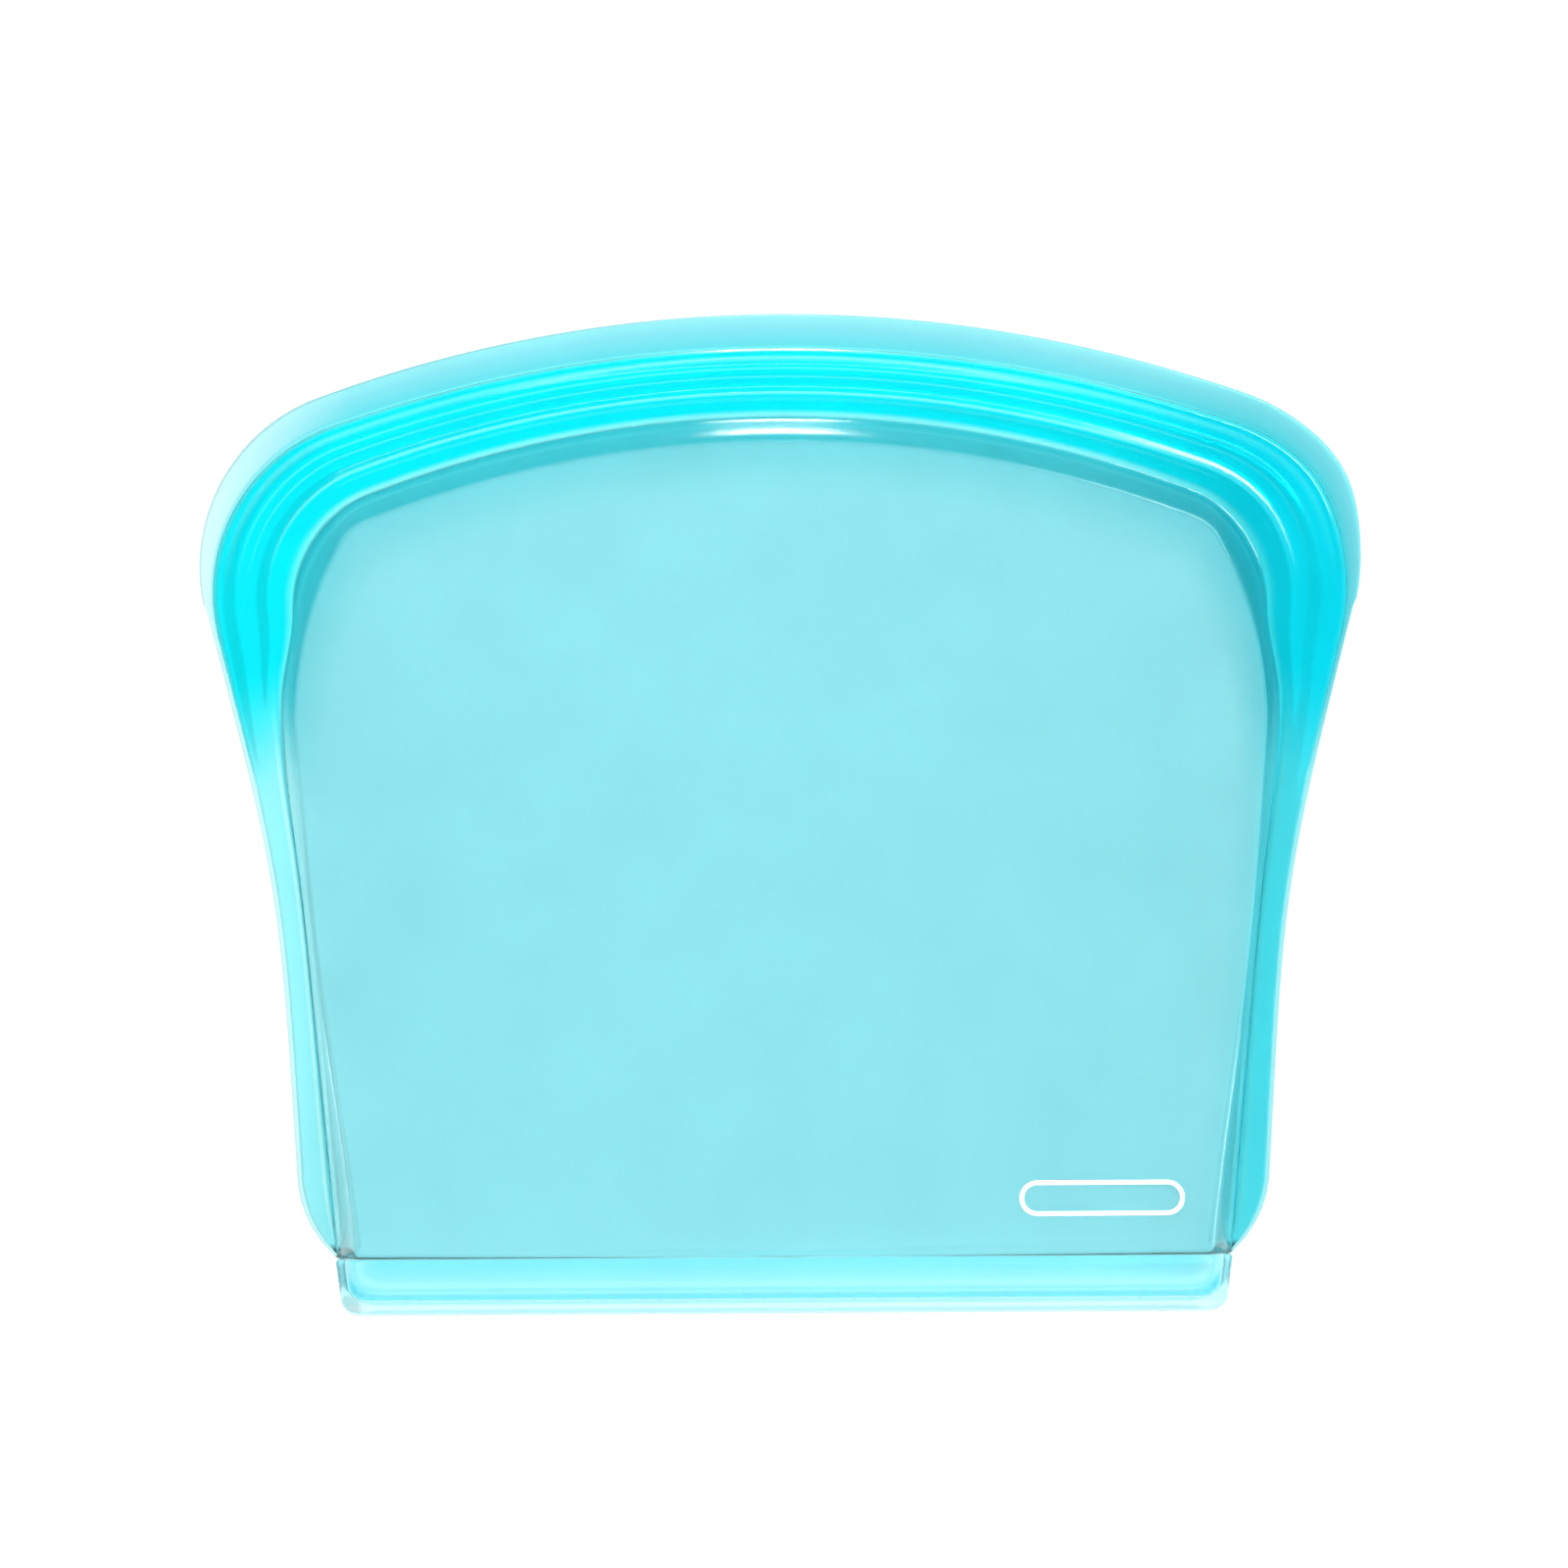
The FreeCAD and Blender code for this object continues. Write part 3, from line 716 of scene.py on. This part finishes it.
def make_boat(name, half_x, half_y, profile, taper):
    """A hollow boat: one closed skin swept round a rounded rectangle, closed below and above its floor."""
    mesh = bmesh.new()
    top = max(height for _, height in profile)
    rings = []
    for inset, height in profile:
        lean = taper * (top - height) / top
        x, y = half_x - inset - lean, half_y - inset - lean * 0.4
        corner = max(min(4.5 - inset, y - 0.2), 0.6)
        rings.append([mesh.verts.new(Vector((*place, height)) * MM) for place in plan_ring(x, y, corner)])
    count = len(rings[0])
    for ring, following in zip(rings, rings[1:]):
        for index in range(count):
            beside = (index + 1) % count
            mesh.faces.new((ring[index], ring[beside], following[beside], following[index]))
    mesh.faces.new(rings[0][::-1])
    mesh.faces.new(rings[-1])
    return finish_mesh(name, mesh)


def base_colour(tree):
    """The boat's tint by distance from its core line, so that its deep band turns up round both ends."""
    place = tree.nodes.new("ShaderNodeTexCoord")
    both_ends = tree.nodes.new("ShaderNodeVectorMath")
    both_ends.operation = "ABSOLUTE"
    link(tree, place, "Object", both_ends, 0)
    axes = tree.nodes.new("ShaderNodeSeparateXYZ")
    link(tree, both_ends, "Vector", axes, "Vector")
    core_end = (base_high[0] - 7.4) * MM
    along = add_range(tree, axes, "X", core_end, core_end + 1.0, 0.0, 1.0)
    down = add_range(tree, axes, "Z", WALL_FOOT * MM - 1.0, WALL_FOOT * MM, 1.0, 0.0)
    offset = tree.nodes.new("ShaderNodeCombineXYZ")
    link(tree, along, "Result", offset, "X")
    link(tree, down, "Result", offset, "Z")
    distance = tree.nodes.new("ShaderNodeVectorMath")
    distance.operation = "LENGTH"
    link(tree, offset, "Vector", distance, 0)
    share = add_range(tree, distance, "Value", 0.0, WALL_FOOT * MM, 0.0, 1.0)
    ramp = add_ramp(tree, [(depth / WALL_FOOT, colour) for depth, colour in (
        (0.0, (0.38, 0.860, 0.910)),
        (0.7, (0.42, 0.890, 0.950)),
        (4.4, (0.56, 0.930, 0.970)),
        (4.8, (0.68, 0.980, 1.000)),
        (5.6, (0.66, 0.970, 0.990)),
        (6.0, (0.38, 0.880, 0.960)),
        (7.3, (0.28, 0.850, 0.950)),
        (7.7, (0.58, 0.955, 0.985)),
    )], share, "Result")
    foot = add_range(tree, axes, "Z", 0.0015, 0.0020, 1.0, 0.0)
    return add_mix(tree, "MIX", (foot, "Result"), (ramp, "Color"), (0.76, 0.983, 0.985))


def make_base():
    """The moulded boat that the bag stands on, with a pale foot and a deeper band above it."""
    profile = boat_section(corner=2.4, wall=1.7, floor=2.2, rim=WALL_FOOT - 0.05)
    boat = make_boat("base_boat_skin", base_high[0], base_high[1], profile, taper=1.1)
    boat.data.materials.append(silicone("base_silicone", base_colour, ior=1.12))
    return boat


# ---------------------------------------------------------------- studio


def add_light(name, place, target, size, power, roll):
    """A soft box that points at a target, turned by a roll in degrees and hidden from the camera."""
    data = bpy.data.lights.new(name, "AREA")
    data.shape = "RECTANGLE"
    data.size, data.size_y = size
    data.energy = power
    lamp = bpy.data.objects.new(name, data)
    lamp.location = place
    lamp.rotation_mode = "QUATERNION"
    aim = (Vector(target) - Vector(place)).to_track_quat("-Z", "Y")
    lamp.rotation_quaternion = aim @ Quaternion((0, 0, 1), math.radians(roll))
    lamp.visible_camera = False
    bpy.context.scene.collection.objects.link(lamp)


def make_floor():
    """A plain pale disc under the bag, as white as the sweep behind it."""
    radius = 0.17
    mesh = bmesh.new()
    bmesh.ops.create_circle(mesh, cap_ends=True, radius=radius, segments=96)
    floor = finish_mesh("floor", mesh)
    material, tree = node_tree("pale_floor")
    shader = tree.nodes["Principled BSDF"]
    shader.inputs["Base Color"].default_value = (0.1, 0.1, 0.1, 1)
    shader.inputs["Roughness"].default_value = 0.9
    shader.inputs["Specular IOR Level"].default_value = 0.0
    shader.inputs["Emission Color"].default_value = (1, 1, 1, 1)
    shader.inputs["Emission Strength"].default_value = 1.0
    floor.data.materials.append(material)
    floor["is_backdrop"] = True


def make_world():
    """A white sweep behind the bag. Shiny faces see a dim room, and the sweep falls off to the right."""
    world = bpy.data.worlds.new("white_surround")
    bpy.context.scene.world = world
    world.use_nodes = True
    tree = world.node_tree
    background = tree.nodes["Background"]
    path = tree.nodes.new("ShaderNodeLightPath")
    mirrored = tree.nodes.new("ShaderNodeMath")
    mirrored.operation = "SUBTRACT"
    mirrored.use_clamp = True
    link(tree, path, "Is Glossy Ray", mirrored, 0)
    link(tree, path, "Transmission Depth", mirrored, 1)
    direction = tree.nodes.new("ShaderNodeTexCoord")
    axes = tree.nodes.new("ShaderNodeSeparateXYZ")
    link(tree, direction, "Generated", axes, "Vector")
    front_room = add_range(tree, axes, "Y", -0.3, 0.15, 0.10, 0.95)
    room = tree.nodes.new("ShaderNodeMix")
    room.inputs["A"].default_value = 1.075
    link(tree, mirrored, "Value", room, "Factor")
    link(tree, front_room, "Result", room, "B")
    sweep = add_range(tree, axes, "X", 0.015, 0.06, 1.0, 0.75)
    seen = tree.nodes.new("ShaderNodeMath")
    seen.operation = "MAXIMUM"
    link(tree, sweep, "Result", seen, 0)
    link(tree, path, "Is Camera Ray", seen, 1)
    strength = add_product(tree, (room, 0), (seen, "Value"))
    link(tree, strength, "Value", background, "Strength")
    background.inputs["Color"].default_value = (1, 1, 1, 1)


def make_camera():
    """A long lens straight in front of the bag, turned a third of a degree as in the photograph."""
    low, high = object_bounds()
    middle = (Vector(low) + Vector(high)) / 2
    distance = 2.0
    frame_width = 0.2573
    aside, up, roll = 0.0004, 0.0047, 0.36
    data = bpy.data.cameras.new("camera")
    data.sensor_width = 36.0
    data.lens = data.sensor_width * distance / frame_width
    data.clip_end = 20.0
    camera = bpy.data.objects.new("camera", data)
    camera.location = (middle.x + aside, middle.y - distance, middle.z + up)
    camera.rotation_euler = (math.radians(90), math.radians(roll), 0)
    bpy.context.scene.collection.objects.link(camera)
    bpy.context.scene.camera = camera


# ---------------------------------------------------------------- build

front_shell = make_shell("front_shell", FRONT)
back_shell = make_shell("back_shell", BACK)
front_shell.data.materials.append(silicone("front_silicone", front_colour))
back_shell.data.materials.append(silicone("back_silicone", back_colour))

for shell, mouth_name in ((front_shell, "front_mouth"), (back_shell, "back_mouth")):
    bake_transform(shell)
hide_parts("front_wall_lower", "front_wall_upper", "front_seal_grooves", "front_lip")
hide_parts("back_wall_lower", "back_wall_upper", "back_seal_ribs", "back_lip")
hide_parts("left_side_seam", "right_side_seam")
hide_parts("left_seal_end", "right_seal_end")

boat = make_base()
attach(boat, "pouch")
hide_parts("base_boat")

mark = make_mark()
mark.data.materials.append(print_ink())
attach(mark, "pouch")

make_floor()
make_world()
make_camera()

# Soft boxes: name, place, target, size in metres, watts and roll in degrees.
for box in (("crown_box", (0.0, -0.14, 0.85), (0, 0, 0.145), (0.09, 0.05), 1.2, 0.0),
            ("front_strip", (0.0, -0.80, 0.80), (0, 0, 0.145), (0.9, 0.08), 2.0, 0.0),
            ("right_box", (0.62, -0.75, 0.68), (0.08, 0, 0.13), (0.80, 0.16), 16.0, -50.0),
            ("right_strip", (0.60, 0.25, 0.10), (0.08, 0, 0.08), (0.05, 0.5), 0.5, 0.0),
            ("left_strip", (-0.60, 0.25, 0.10), (-0.08, 0, 0.08), (0.05, 0.5), 0.5, 0.0)):
    add_light(*box)

bpy.context.scene.view_settings.view_transform = "Standard"
